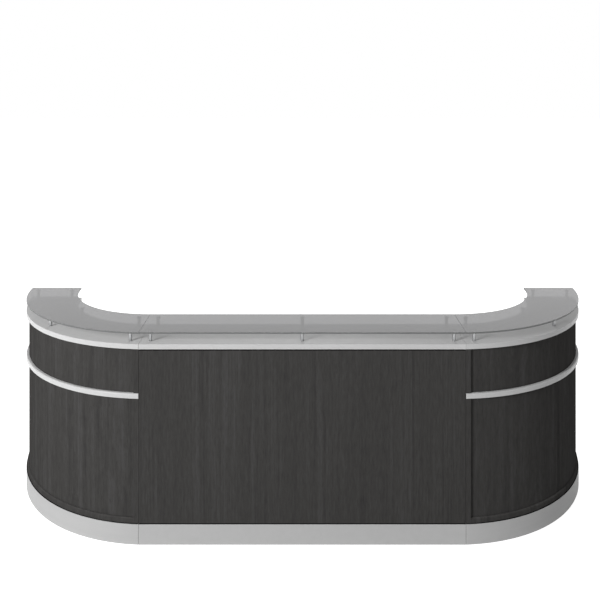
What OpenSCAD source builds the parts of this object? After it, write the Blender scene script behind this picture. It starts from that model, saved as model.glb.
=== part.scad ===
// Curved reception desk: a straight module between two quarter-round corner modules.
// +X runs along the desk, visitors stand on the -Y side and +Z is up.
// The origin lies on the floor at the middle of the desk's footprint.
// All lengths are in millimetres.

/* [Plan] */
// Width of the straight middle module
straight_w = 1600; // [1300:10:2000]
// Length of each leg of a corner module
corner_leg = 800; // [770:5:840]
// Radius of the outline round a corner
outline_r = 850; // [845:1:900]
// Depth of the worktops, from the front of the desk
worktop_d = 600; // [560:5:640]
// Depth of the counter and of the glass shelf
counter_d = 290; // [270:5:310]

/* [Heights] */
// Top of the worktops above the floor
worktop_h = 740; // [700:5:780]
// Top of the counter above the floor
counter_h = 982; // [940:1:1080]
// Clear height between the counter and the glass
glass_gap = 50; // [40:1:70]
// Top of the plinth above the floor
plinth_h = 102; // [90:1:120]
// Gap between the plinth and the floor
floor_gap = 3; // [2:0.5:6]

/* [Boards] */
// Thickness of the worktops
worktop_t = 25; // [22:1:30]
// Thickness of the counter
counter_t = 25; // [22:1:30]
// Thickness of the side panels
gable_t = 25; // [24:1:30]
// Thickness of the flat and curved fascia panels
fascia_t = 18; // [15:1:22]
// Thickness of the curved base boards
base_board_t = 25; // [18:1:30]
// Depth of the curved base boards
base_board_d = 120; // [90:5:150]
// Thickness of the rail behind the plinth
rail_t = 25; // [18:1:30]
// Thickness of the glass shelf
glass_t = 8; // [6:1:12]

/* [Setbacks] */
// Setback of the flat fascia and the panel edges behind the outline
face_set = 4; // [2:0.5:8]
// Setback of the curved fascia behind the outline
fascia_inset = 15; // [12:1:26]
// Height of the shadow gap above the plinth
reveal = 2; // [1:0.5:8]
// Height of the shadow gap between the front panels and the counter
top_reveal = 6; // [2:0.5:10]
// Distance by which the side panels stop short of the staff-side edges
side_margin = 20; // [10:1:40]

/* [Glass posts] */
// Diameter of a post
post_d = 16; // [12:1:20]
// Distance from a post's axis to the edge of the glass
post_inset = 45; // [40:1:55]
// Distance from a post's axis to a joint between two modules
post_seam = 50; // [40:1:70]
// Diameter of the steel pad bonded under the glass
pad_d = 24; // [22:1:30]
// Thickness of the pad
pad_t = 4; // [3:0.5:6]
// Diameter of the stud that fixes a post into the counter
stud_d = 6; // [5:1:8]
// Length of the stud
stud_l = 15; // [10:1:18]
// Radial gap round a stud or bolt
bolt_gap = 0.1; // [0.05:0.05:0.3]

/* [Levelling feet] */
// Diameter of the foot's base
foot_d = 24; // [20:1:24]
// Height of the straight rim of the base
foot_rim_h = 5; // [4:0.5:6]
// Height of the tapered part of the base
foot_taper_h = 4; // [3:0.5:5]
// Width across flats of the foot's nut
foot_nut_w = 13; // [12:1:15]
// Height of the foot's nut
foot_nut_h = 4; // [3:0.5:5]
// Diameter of the foot's screw
foot_screw_d = 8; // [6:1:9]
// Length of screw inside the sleeve when the foot is wound in
foot_screw_in = 37; // [30:1:39]
// Radial running gap between the screw and its sleeve
foot_screw_gap = 0.05; // [0.02:0.01:0.1]
// Outer diameter of the sleeve
sleeve_d = 12; // [11:1:14]
// Depth of the sleeve in the panel
sleeve_l = 40; // [40:1:50]
// Diameter of the sleeve's flange
sleeve_flange_d = 20; // [17:1:22]
// Thickness of the sleeve's flange
sleeve_flange_t = 2; // [1:0.5:3]
// Distance from a foot's axis to the end of its panel
foot_edge = 60; // [45:1:80]
// Shift between the feet of two panels that stand side by side
foot_stagger = 50; // [30:1:70]

/* [Fixings] */
// Diameter of the bolts that join two modules
bolt_d = 8; // [6:1:10]
// Diameter of the bolt heads
bolt_head_d = 16; // [14:1:20]
// Thickness of the bolt heads
bolt_head_t = 3; // [2:0.5:5]
// Distance from a bolt to the front or back edge of its panel
bolt_edge = 90; // [70:5:110]
// Height of the lower bolts above the floor
bolt_low_z = 240; // [200:10:300]
// Distance from the upper bolts to the underside of the worktop
bolt_high = 95; // [80:5:120]
// Length of each leg of a steel bracket
bracket_leg = 40; // [30:1:45]
// Width of a bracket
bracket_w = 50; // [40:1:60]
// Thickness of a bracket
bracket_t = 3; // [2:0.5:4]
// Distance from the middle of the desk to the inner brackets
bracket_in_x = 250; // [200:10:300]
// Distance from the middle of the desk to the outer brackets
bracket_out_x = 600; // [500:10:615]

/* [Cable ports] */
// Distance from the middle of the desk to a port
port_x = 430; // [400:5:480]
// Outer diameter of the ring's collar
port_collar_d = 60; // [58:1:66]
// Diameter of the ring's flange
port_flange_d = 74; // [70:1:80]
// Thickness of the ring's flange
port_flange_t = 2.5; // [2:0.5:4]
// Length of the collar below the worktop's surface
port_collar_l = 20; // [14:1:21]
// Wall of the collar beside the cap
port_wall = 2; // [1.5:0.5:3]
// Width of the ledge that the cap rests on
port_ledge = 3; // [2:0.5:4]
// Thickness of the cap
port_cap_t = 4.5; // [3.5:0.5:6]
// Radial running gap round the cap
port_cap_gap = 0.08; // [0.03:0.01:0.1]
// Width of the cable slot in the cap
port_slot_w = 18; // [14:1:22]
// Distance from the cap's axis to the round end of the slot
port_slot_in = 12; // [9:1:14]

/* [Cable tray] */
// Length of the tray
tray_l = 1100; // [1000:10:1140]
// Inner width of the tray
tray_w = 90; // [80:1:100]
// Height of the tray
tray_h = 60; // [40:1:80]
// Thickness of the tray's sheet
tray_t = 1.5; // [1:0.5:2]
// Width of the tray's hanging flanges
tray_flange = 14; // [10:1:16]
// Gap between the brackets behind the fascia and the tray
tray_gap = 5.5; // [2:0.5:15]

/* [Hidden] */
// Curves are true arcs, and this many facets show one on the screen
$fn = 180;
// Length by which a cutting tool passes a face
cut = 1;

half_w = straight_w / 2;
front_y = -corner_leg / 2;
back_y = corner_leg / 2;

// The outline's arc meets the middle module at the seam and ends square at the back.
arc_shift = (sqrt(2 * outline_r * outline_r - corner_leg * corner_leg) - corner_leg) / 2;
arc_x = half_w - arc_shift;
arc_y = back_y + arc_shift;

// Radii of the concave staff-side edges about the inner corner of a corner module
worktop_r = corner_leg - worktop_d;
counter_r = corner_leg - counter_d;

// Levels
worktop_z = worktop_h - worktop_t;
counter_z = counter_h - counter_t;
glass_z = counter_h + glass_gap;
face_z = plinth_h + reveal;
flange_z = foot_rim_h + foot_taper_h + foot_nut_h;
gable_z = flange_z + sleeve_flange_t;

// Depth positions of the panels
plinth_t = face_set + fascia_t;
inside_y = front_y + plinth_t;
gable_back = front_y + worktop_d - side_margin;
upper_back = front_y + counter_d - side_margin;
end_in_x = half_w + worktop_r + side_margin;
end_upper_in_x = half_w + counter_r + side_margin;
end_out_x = half_w + corner_leg - plinth_t;

// Feet of the right-hand panels, as [x, y]
centre_gable_x = half_w - gable_t / 2;
seam_gable_x = half_w + gable_t / 2;
end_gable_y = back_y - gable_t / 2;
centre_front_foot = [centre_gable_x, inside_y + foot_edge];
centre_back_foot = [centre_gable_x, gable_back - foot_edge];
seam_front_foot = [seam_gable_x, inside_y + foot_edge + foot_stagger];
seam_back_foot = [seam_gable_x, gable_back - foot_edge - foot_stagger];
end_inner_foot = [end_in_x + foot_edge, end_gable_y];
end_outer_foot = [end_out_x - foot_edge, end_gable_y];
centre_feet = [centre_front_foot, centre_back_foot];
seam_feet = [seam_front_foot, seam_back_foot];
end_feet = [end_inner_foot, end_outer_foot];

// Bolts of the right-hand seam, as [y, z]
bolt_high_z = worktop_z - bolt_high;
upper_bolt = [(inside_y + upper_back) / 2, (worktop_h + counter_z) / 2];
lower_bolts = [
    [inside_y + bolt_edge, bolt_low_z],
    [inside_y + bolt_edge, bolt_high_z],
    [gable_back - bolt_edge, bolt_low_z],
    [gable_back - bolt_edge, bolt_high_z]
];

// Posts under the middle pane, and round the right-hand pane, as [x, y]
post_y_front = front_y + post_inset;
post_y_back = front_y + counter_d - post_inset;
post_out_r = outline_r - post_inset;
post_in_r = counter_r + post_inset;
post_end_y = back_y - post_inset;
seam_post_x = half_w + post_seam;
centre_posts = [
    for (x = [-half_w + post_seam, 0, half_w - post_seam])
        for (y = [post_y_front, post_y_back]) [x, y]
];
corner_posts = [
    [seam_post_x, arc_y - leg_of(post_out_r, seam_post_x - arc_x)],
    [seam_post_x, back_y - leg_of(post_in_r, post_seam)],
    [arc_x + post_out_r * sin(45), arc_y - post_out_r * cos(45)],
    [half_w + post_in_r * sin(45), back_y - post_in_r * cos(45)],
    [arc_x + leg_of(post_out_r, arc_y - post_end_y), post_end_y],
    [half_w + leg_of(post_in_r, post_inset), post_end_y]
];

// The cable tray hangs behind the brackets, and the cable ports open into it.
tray_y = inside_y + bracket_leg + tray_gap + tray_flange + tray_t + tray_w / 2;
port_places = [[-port_x, tray_y], [port_x, tray_y]];
cap_r = port_collar_d / 2 - port_wall - port_cap_gap;
cap_z = worktop_h + port_flange_t - port_cap_t;

// Colours
dark_laminate = "#3f3d3b";
white_laminate = "#d9d9d7";
silver_laminate = "#b4b5b6";
satin_steel = "#9da0a3";
black_plastic = "#1d1e1f";

// Second leg of a right triangle with this hypotenuse and first leg
function leg_of(hypotenuse, leg) = sqrt(hypotenuse * hypotenuse - leg * leg);

// Draws its children on the right-hand side (1) or mirrored on the left (-1)
module on_side(side) {
    if (side < 0) mirror([1, 0, 0]) children();
    else children();
}

// Quarter-round block of the right corner, its curved face set in behind the outline
module corner_block(inset, z0, z1) {
    intersection() {
        translate([arc_x, arc_y, z0]) cylinder(r = outline_r - inset, h = z1 - z0);
        translate([half_w, front_y - cut, z0])
            cube([corner_leg + cut, corner_leg + cut, z1 - z0]);
    }
}

// Curved strip of the right corner between the two end panels or right to the cut ends
module corner_strip(inset, depth, z0, z1, end_gap) {
    difference() {
        intersection() {
            corner_block(inset, z0, z1);
            translate([half_w + end_gap, front_y - cut, z0])
                cube([corner_leg, corner_leg + cut - end_gap, z1 - z0]);
        }
        translate([arc_x, arc_y, z0 - cut])
            cylinder(r = outline_r - inset - depth, h = z1 - z0 + 2 * cut);
    }
}

// Board of the right corner, with a concave staff-side edge about the inner corner
module corner_board(edge_r, z0, z1) {
    difference() {
        corner_block(0, z0, z1);
        translate([half_w, back_y, z0 - cut]) cylinder(r = edge_r, h = z1 - z0 + 2 * cut);
    }
}

// Blind holes from below for the sleeves of these feet
module sleeve_bores(places) {
    for (p = places)
        translate([p.x, p.y, gable_z - cut]) cylinder(d = sleeve_d, h = sleeve_l + cut);
}

// Holes along X through the panels at the right-hand seam
module bolt_bores(places) {
    for (p = places)
        translate([half_w - gable_t - cut, p[0], p[1]]) rotate([0, 90, 0])
            cylinder(d = bolt_d + 2 * bolt_gap, h = 2 * (gable_t + cut));
}

// Blind holes in the counter for the studs of these posts
module stud_bores(places) {
    for (p = places)
        translate([p.x, p.y, counter_h - stud_l])
            cylinder(d = stud_d + 2 * bolt_gap, h = stud_l + cut);
}

// Side panel of the middle module below its worktop
module centre_gable(side) {
    on_side(side) color(dark_laminate) difference() {
        translate([half_w - gable_t, inside_y, gable_z])
            cube([gable_t, gable_back - inside_y, worktop_z - gable_z]);
        sleeve_bores(centre_feet);
        bolt_bores(lower_bolts);
    }
}

// Side panel of the middle module between its worktop and the counter
module centre_upper_side(side) {
    on_side(side) color(dark_laminate) difference() {
        translate([half_w - gable_t, inside_y, worktop_h])
            cube([gable_t, upper_back - inside_y, counter_z - worktop_h]);
        bolt_bores([upper_bolt]);
    }
}

// Envelope of the corner's end panels: behind the plinth below, at the outline above
module panel_envelope() {
    corner_block(plinth_t, gable_z, face_z);
    corner_block(face_set, face_z, worktop_z);
}

module seam_gable(side) {
    on_side(side) color(dark_laminate) difference() {
        intersection() {
            panel_envelope();
            translate([half_w, front_y, gable_z])
                cube([gable_t, gable_back - front_y, worktop_z - gable_z]);
        }
        sleeve_bores(seam_feet);
        bolt_bores(lower_bolts);
    }
}

module end_gable(side) {
    on_side(side) color(dark_laminate) difference() {
        intersection() {
            panel_envelope();
            translate([end_in_x, back_y - gable_t, gable_z])
                cube([corner_leg, gable_t, worktop_z - gable_z]);
        }
        sleeve_bores(end_feet);
    }
}

module upper_seam_side(side) {
    on_side(side) color(dark_laminate) difference() {
        intersection() {
            corner_block(face_set, worktop_h, counter_z);
            translate([half_w, front_y, worktop_h])
                cube([gable_t, upper_back - front_y, counter_z - worktop_h]);
        }
        bolt_bores([upper_bolt]);
    }
}

module upper_end_side(side) {
    on_side(side) color(dark_laminate) intersection() {
        corner_block(face_set, worktop_h, counter_z);
        translate([end_upper_in_x, back_y - gable_t, worktop_h])
            cube([corner_leg, gable_t, counter_z - worktop_h]);
    }
}

module plinth_curved(side) {
    on_side(side) color(silver_laminate)
        corner_strip(0, plinth_t, floor_gap, plinth_h, 0);
}

module base_board(side) {
    on_side(side) color(dark_laminate)
        corner_strip(face_set, base_board_d, face_z, face_z + base_board_t, gable_t);
}

module lower_fascia(side) {
    on_side(side) color(dark_laminate)
        corner_strip(fascia_inset, fascia_t, face_z + base_board_t, worktop_z, gable_t);
}

module upper_fascia(side) {
    on_side(side) color(dark_laminate)
        corner_strip(fascia_inset, fascia_t, worktop_h, counter_z - top_reveal, gable_t);
}

module worktop_curved(side) {
    on_side(side) color(white_laminate) corner_board(worktop_r, worktop_z, worktop_h);
}

module counter_curved(side) {
    on_side(side) color(white_laminate) difference() {
        corner_board(counter_r, counter_z, counter_h);
        stud_bores(corner_posts);
    }
}

module glass_curved(side) {
    on_side(side) color("#8f9698", 0.5) corner_board(counter_r, glass_z, glass_z + glass_t);
}

// Straight post with its fixing stud
module post(p) {
    translate([p.x, p.y, counter_h]) cylinder(d = post_d, h = glass_gap - pad_t);
    translate([p.x, p.y, counter_h - stud_l]) cylinder(d = stud_d, h = stud_l);
}

// Steel disc between a post and the glass
module pad(p) {
    translate([p.x, p.y, glass_z - pad_t]) cylinder(d = pad_d, h = pad_t);
}

module corner_post_set(side) {
    on_side(side) color(satin_steel) for (p = corner_posts) post(p);
}

module corner_pad_set(side) {
    on_side(side) color(satin_steel) for (p = corner_posts) pad(p);
}

// Bolts with a wide head on each side of the two panels that they clamp
module connector_bolts(side) {
    on_side(side) color(satin_steel) for (p = concat(lower_bolts, [upper_bolt]))
        translate([half_w, p[0], p[1]]) rotate([0, 90, 0]) {
            cylinder(d = bolt_d, h = 2 * gable_t, center = true);
            for (end = [-1, 1])
                translate([0, 0, end * (gable_t + bolt_head_t / 2)])
                    cylinder(d = bolt_head_d, h = bolt_head_t, center = true);
        }
}

// Angle bracket between the flat fascia and the board above it
module bracket(x, z) {
    translate([x - bracket_w / 2, inside_y, z - bracket_t])
        cube([bracket_w, bracket_leg, bracket_t]);
    translate([x - bracket_w / 2, inside_y, z - bracket_leg])
        cube([bracket_w, bracket_t, bracket_leg]);
}

// Threaded sleeve with a flange under the panel
module foot_sleeve(p) {
    translate([p.x, p.y, 0]) difference() {
        union() {
            translate([0, 0, gable_z]) cylinder(d = sleeve_d, h = sleeve_l);
            translate([0, 0, flange_z]) cylinder(d = sleeve_flange_d, h = sleeve_flange_t);
        }
        translate([0, 0, flange_z - cut])
            cylinder(r = foot_screw_d / 2 + foot_screw_gap, h = sleeve_l + sleeve_flange_t + 2 * cut);
    }
}

// Levelling foot, wound fully in, its nut against the sleeve's flange
module levelling_foot(p, side) {
    on_side(side) color(black_plastic) translate([p.x, p.y, 0]) {
        cylinder(d = foot_d, h = foot_rim_h);
        translate([0, 0, foot_rim_h])
            cylinder(d1 = foot_d, d2 = foot_nut_w + foot_taper_h, h = foot_taper_h);
        translate([0, 0, foot_rim_h + foot_taper_h])
            cylinder(d = foot_nut_w / cos(30), h = foot_nut_h, $fn = 6);
        translate([0, 0, flange_z]) cylinder(d = foot_screw_d, h = foot_screw_in);
    }
}

// Lining of a cable port, with a flange on top and a ledge for the cap
module port_ring(p) {
    translate([p.x, p.y, 0]) difference() {
        union() {
            translate([0, 0, worktop_h - port_collar_l])
                cylinder(d = port_collar_d, h = port_collar_l);
            translate([0, 0, worktop_h]) cylinder(d = port_flange_d, h = port_flange_t);
        }
        translate([0, 0, worktop_h - port_collar_l - cut])
            cylinder(r = port_collar_d / 2 - port_wall - port_ledge, h = port_collar_l + 2 * port_flange_t);
        translate([0, 0, cap_z])
            cylinder(r = port_collar_d / 2 - port_wall, h = port_cap_t + cut);
    }
}

// Turning cap of a cable port, with a cable slot open towards the staff side
module port_cap(p) {
    color(black_plastic) translate([p.x, p.y, cap_z]) difference() {
        cylinder(r = cap_r, h = port_cap_t);
        translate([0, port_slot_in + port_slot_w / 2, -cut])
            cylinder(d = port_slot_w, h = port_cap_t + 2 * cut);
        translate([-port_slot_w / 2, port_slot_in + port_slot_w / 2, -cut])
            cube([port_slot_w, cap_r, port_cap_t + 2 * cut]);
    }
}

module centre_plinth() {
    color(silver_laminate) translate([-half_w, front_y, floor_gap])
        cube([straight_w, plinth_t, plinth_h - floor_gap]);
}

module front_rail() {
    color(dark_laminate) translate([gable_t - half_w, inside_y, gable_z])
        cube([straight_w - 2 * gable_t, rail_t, face_z - gable_z]);
}

module centre_fascia() {
    color(dark_laminate) translate([-half_w, front_y + face_set, face_z])
        cube([straight_w, fascia_t, counter_z - top_reveal - face_z]);
}

module centre_gable_left() { centre_gable(-1); }
module centre_gable_right() { centre_gable(1); }

module centre_worktop() {
    color(white_laminate) difference() {
        translate([-half_w, inside_y, worktop_z])
            cube([straight_w, front_y + worktop_d - inside_y, worktop_t]);
        for (p = port_places)
            translate([p.x, p.y, worktop_z - cut])
                cylinder(d = port_collar_d + 2 * bolt_gap, h = worktop_t + 2 * cut);
    }
}

module centre_upper_side_left() { centre_upper_side(-1); }
module centre_upper_side_right() { centre_upper_side(1); }

module centre_upper_divider() {
    color(dark_laminate) translate([-gable_t / 2, inside_y, worktop_h])
        cube([gable_t, upper_back - inside_y, counter_z - worktop_h]);
}

module centre_counter() {
    color(white_laminate) difference() {
        translate([-half_w, front_y, counter_z]) cube([straight_w, counter_d, counter_t]);
        stud_bores(centre_posts);
    }
}

module centre_glass() {
    color("#8f9698", 0.5) translate([-half_w, front_y, glass_z])
        cube([straight_w, counter_d, glass_t]);
}

// Folded sheet that hangs below the worktop under the two cable ports
module cable_tray() {
    outer_w = tray_w + 2 * tray_t;
    color(silver_laminate) translate([-tray_l / 2, tray_y, worktop_z]) {
        translate([0, -outer_w / 2, -tray_h]) cube([tray_l, outer_w, tray_t]);
        for (end = [-1, 1]) {
            translate([0, end * (tray_w + tray_t) / 2 - tray_t / 2, -tray_h])
                cube([tray_l, tray_t, tray_h]);
            translate([0, end * (outer_w + tray_flange) / 2 - (tray_flange / 2), -tray_t])
                cube([tray_l, tray_flange, tray_t]);
        }
    }
}

module plinth_left() { plinth_curved(-1); }
module plinth_right() { plinth_curved(1); }
module base_board_left() { base_board(-1); }
module base_board_right() { base_board(1); }
module lower_fascia_left() { lower_fascia(-1); }
module lower_fascia_right() { lower_fascia(1); }
module seam_gable_left() { seam_gable(-1); }
module seam_gable_right() { seam_gable(1); }
module end_gable_left() { end_gable(-1); }
module end_gable_right() { end_gable(1); }
module worktop_left() { worktop_curved(-1); }
module worktop_right() { worktop_curved(1); }
module upper_fascia_left() { upper_fascia(-1); }
module upper_fascia_right() { upper_fascia(1); }
module upper_seam_side_left() { upper_seam_side(-1); }
module upper_seam_side_right() { upper_seam_side(1); }
module upper_end_side_left() { upper_end_side(-1); }
module upper_end_side_right() { upper_end_side(1); }
module counter_left() { counter_curved(-1); }
module counter_right() { counter_curved(1); }
module glass_left() { glass_curved(-1); }
module glass_right() { glass_curved(1); }
module glass_posts_left() { corner_post_set(-1); }
module glass_posts_right() { corner_post_set(1); }
module glass_pads_left() { corner_pad_set(-1); }
module glass_pads_right() { corner_pad_set(1); }
module glass_posts_centre() { color(satin_steel) for (p = centre_posts) post(p); }
module glass_pads_centre() { color(satin_steel) for (p = centre_posts) pad(p); }
module connector_bolts_left() { connector_bolts(-1); }
module connector_bolts_right() { connector_bolts(1); }

module support_brackets() {
    color(satin_steel) for (x = [-bracket_out_x, -bracket_in_x, bracket_in_x, bracket_out_x]) {
        bracket(x, worktop_z);
        bracket(x, counter_z);
    }
}

module foot_sleeves() {
    color(satin_steel) for (side = [-1, 1]) on_side(side)
        for (p = concat(centre_feet, seam_feet, end_feet)) foot_sleeve(p);
}

module foot_centre_left_front() { levelling_foot(centre_front_foot, -1); }
module foot_centre_left_back() { levelling_foot(centre_back_foot, -1); }
module foot_centre_right_front() { levelling_foot(centre_front_foot, 1); }
module foot_centre_right_back() { levelling_foot(centre_back_foot, 1); }
module foot_seam_left_front() { levelling_foot(seam_front_foot, -1); }
module foot_seam_left_back() { levelling_foot(seam_back_foot, -1); }
module foot_seam_right_front() { levelling_foot(seam_front_foot, 1); }
module foot_seam_right_back() { levelling_foot(seam_back_foot, 1); }
module foot_end_left_inner() { levelling_foot(end_inner_foot, -1); }
module foot_end_left_outer() { levelling_foot(end_outer_foot, -1); }
module foot_end_right_inner() { levelling_foot(end_inner_foot, 1); }
module foot_end_right_outer() { levelling_foot(end_outer_foot, 1); }

module port_rings() { color(black_plastic) for (p = port_places) port_ring(p); }
module port_cap_left() { port_cap(port_places[0]); }
module port_cap_right() { port_cap(port_places[1]); }

centre_plinth();
front_rail();
centre_fascia();
centre_gable_left();
centre_gable_right();
centre_worktop();
centre_upper_side_left();
centre_upper_side_right();
centre_upper_divider();
centre_counter();
centre_glass();
cable_tray();
plinth_left();
plinth_right();
base_board_left();
base_board_right();
lower_fascia_left();
lower_fascia_right();
seam_gable_left();
seam_gable_right();
end_gable_left();
end_gable_right();
worktop_left();
worktop_right();
upper_fascia_left();
upper_fascia_right();
upper_seam_side_left();
upper_seam_side_right();
upper_end_side_left();
upper_end_side_right();
counter_left();
counter_right();
glass_left();
glass_right();
glass_posts_left();
glass_posts_centre();
glass_posts_right();
glass_pads_left();
glass_pads_centre();
glass_pads_right();
connector_bolts_left();
connector_bolts_right();
support_brackets();
foot_sleeves();
foot_centre_left_front();
foot_centre_left_back();
foot_centre_right_front();
foot_centre_right_back();
foot_seam_left_front();
foot_seam_left_back();
foot_seam_right_front();
foot_seam_right_back();
foot_end_left_inner();
foot_end_left_outer();
foot_end_right_inner();
foot_end_right_outer();
port_rings();
port_cap_left();
port_cap_right();
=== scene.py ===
"""Looks of a curved reception desk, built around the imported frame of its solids.

A straight module stands between two quarter-round corner modules. Dark woodgrain panels rise
from a silver plinth, a white counter runs all round, and a grey glass shelf stands on short
steel posts above it. Every length is in metres, in the frame's own axes: +X runs along the
desk, visitors stand on the -Y side, and +Z is up from the floor.
"""

from __future__ import annotations

import functools
import logging
import math
from collections.abc import Callable, Iterable, Sequence
from dataclasses import dataclass, field
from enum import Enum

import bmesh
import bpy
from mathutils import Matrix, Vector


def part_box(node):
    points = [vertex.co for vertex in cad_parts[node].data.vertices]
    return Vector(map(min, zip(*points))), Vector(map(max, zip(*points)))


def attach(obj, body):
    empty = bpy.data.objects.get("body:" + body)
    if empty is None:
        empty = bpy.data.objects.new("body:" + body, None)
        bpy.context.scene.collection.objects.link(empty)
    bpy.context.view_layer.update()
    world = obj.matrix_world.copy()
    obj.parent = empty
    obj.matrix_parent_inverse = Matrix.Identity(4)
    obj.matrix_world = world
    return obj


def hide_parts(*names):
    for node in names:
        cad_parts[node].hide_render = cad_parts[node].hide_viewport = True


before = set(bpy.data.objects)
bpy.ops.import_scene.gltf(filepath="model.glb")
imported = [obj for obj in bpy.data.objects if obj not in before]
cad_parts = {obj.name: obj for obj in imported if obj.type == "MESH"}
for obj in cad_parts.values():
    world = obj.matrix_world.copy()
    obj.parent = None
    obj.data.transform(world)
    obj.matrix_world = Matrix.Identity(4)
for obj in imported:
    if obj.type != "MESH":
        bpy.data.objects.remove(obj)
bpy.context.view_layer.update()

LOG = logging.getLogger("reception_desk")
# Body that everything rides on but the feet and the caps
DESK = "desk"
# Name of each point's place in the board's grain
GRAIN = "grain"
# How far the grain's pattern moves on from one piece to the next
GRAIN_STEP = Vector((0.731, 0.317, 0.0))
# Edges that turn by more than this are rounded
SHARP_TURN = math.radians(25)
# Edges that still turn by more than this are shaded as edges
CREASE = math.radians(40)
# Points closer together than this are one
WELD = 1e-5
# Differences smaller than this count as none
TINY = 1e-6
# Range that soft noise mostly keeps to
NOISE_CORE = (0.3, 0.7)
# Least share of a face's normal along an axis where the face lies square to it
SQUARE_ON = 0.95
# Least share of it along Z on the faces of a level board, and on a rounding that turns up or down
LEVEL = 0.9
ROUNDED = 0.2

Point = tuple[float, float]
Triple = tuple[float, float, float]
Colour = tuple[float, float, float, float]
Box = tuple[Vector, Vector]
Mesh = bmesh.types.BMesh
Socket = bpy.types.NodeSocket
Value = Socket | float | Sequence[float]
Fibres = Callable[[Vector], Vector]


class Side(Enum):
    """The two ends of the desk, as the sign of X."""

    LEFT = -1
    RIGHT = 1

    @property
    def label(self) -> str:
        """Word that ends the names of this side's pieces."""
        return self.name.lower()


class GapShade(Enum):
    """Edges of a board painted near black as the shade of the joint or shadow gap that they face."""

    NONE = ()
    SEAM = ("seam",)
    TOP = ("seam", "top")
    BOTH = ("seam", "top", "bottom")


def linear(code: str) -> Colour:
    """Linear colour for a shader, with a full alpha, of the screen colour "#rrggbb"."""
    parts = [int(code[i:i + 2], 16) / 255 for i in (1, 3, 5)]
    return (*[((p + 0.055) / 1.055) ** 2.4 if p > 0.04045 else p / 12.92 for p in parts], 1.0)


@dataclass(frozen=True)
class DeskPlan:
    """Plan of the desk, shared by its sub-assemblies."""

    straight_width: float = 1.600
    corner_leg: float = 0.800
    outline_radius: float = 0.850
    worktop_depth: float = 0.600
    counter_depth: float = 0.290
    face_setback: float = 0.004
    fascia_inset: float = 0.015
    fascia_thickness: float = 0.018
    gable_thickness: float = 0.025
    base_board_depth: float = 0.120
    seam_gap: float = 0.0008

    @property
    def half_width(self) -> float:
        """Distance from the middle of the desk to a seam."""
        return self.straight_width / 2

    @property
    def seam_x(self) -> float:
        """Where a corner module's boards begin, half a joint's width past the seam."""
        return self.half_width + self.seam_gap / 2

    @property
    def back_y(self) -> float:
        """Rear face of the desk."""
        return self.corner_leg / 2

    @property
    def plinth_thickness(self) -> float:
        """The plinth runs back to the inner face of the fascia."""
        return self.face_setback + self.fascia_thickness

    @property
    def arc_centre(self) -> Point:
        """Centre of the right-hand corner's outline.

        Returns:
            Its X and Y.
        """
        leg, radius = self.corner_leg, self.outline_radius
        shift = (math.sqrt(2 * radius * radius - leg * leg) - leg) / 2
        return (self.half_width - shift, self.back_y + shift)

    @property
    def worktop_radius(self) -> float:
        """Radius of a worktop's concave staff-side edge."""
        return self.corner_leg - self.worktop_depth

    @property
    def counter_radius(self) -> float:
        """Radius of a counter's concave staff-side edge."""
        return self.corner_leg - self.counter_depth

    def span(self, radius: float, start_x: float, end_y: float) -> Point:
        """Angles between which an arc about the corner's centre runs, from start_x round to end_y."""
        centre_x, centre_y = self.arc_centre
        return -math.acos((start_x - centre_x) / radius), math.asin((end_y - centre_y) / radius)


@dataclass
class Outline:
    """Closed outline of straight runs and arcs, listed anticlockwise."""

    points: list[Point] = field(default_factory=list)

    def to(self, *points: Point) -> Outline:
        """Adds straight runs to these points."""
        self.points.extend(points)
        return self

    def arc(self, centre: Point, radius: float, start: float, end: float, steps: int) -> Outline:
        """Adds an arc.

        Args:
            centre: Centre of the arc.
            radius: Its radius.
            start: Angle of its first point, in radians.
            end: Angle of its last point.
            steps: Number of straight pieces that draw it.

        Returns:
            The outline itself.
        """
        for i in range(steps + 1):
            turn = start + (end - start) * i / steps
            self.to((centre[0] + radius * math.cos(turn), centre[1] + radius * math.sin(turn)))
        return self

    def rounded(self, radius: float, choose: Callable[[Vector], bool], steps: int = 6) -> Outline:
        """Rounds sharp corners.

        Args:
            radius: Radius of the new corners.
            choose: Says of a corner whether it is rounded.
            steps: Number of straight pieces in each new corner.

        Returns:
            A new outline.
        """
        made = Outline()
        count = len(self.points)
        for i, point in enumerate(self.points):
            here = Vector(point)
            before = (Vector(self.points[i - 1]) - here).normalized()
            after = (Vector(self.points[(i + 1) % count]) - here).normalized()
            angle = before.angle(after)
            if math.pi - angle < SHARP_TURN or not choose(here):
                made.to(point)
                continue
            centre = here + (before + after).normalized() * radius / math.sin(angle / 2)
            first = here + before * radius / math.tan(angle / 2) - centre
            last = here + after * radius / math.tan(angle / 2) - centre
            for step in range(steps + 1):
                made.to(tuple(centre + first.slerp(last, step / steps).normalized() * radius))
        return made

    def on_side(self, side: Side) -> Outline:
        """Places the outline of a right-hand piece on either side.

        Args:
            side: End of the desk.

        Returns:
            The outline itself on the right, or its mirror image on the left.
        """
        if side is Side.RIGHT:
            return self
        return Outline([(-x, y) for x, y in reversed(self.points)])


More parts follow.
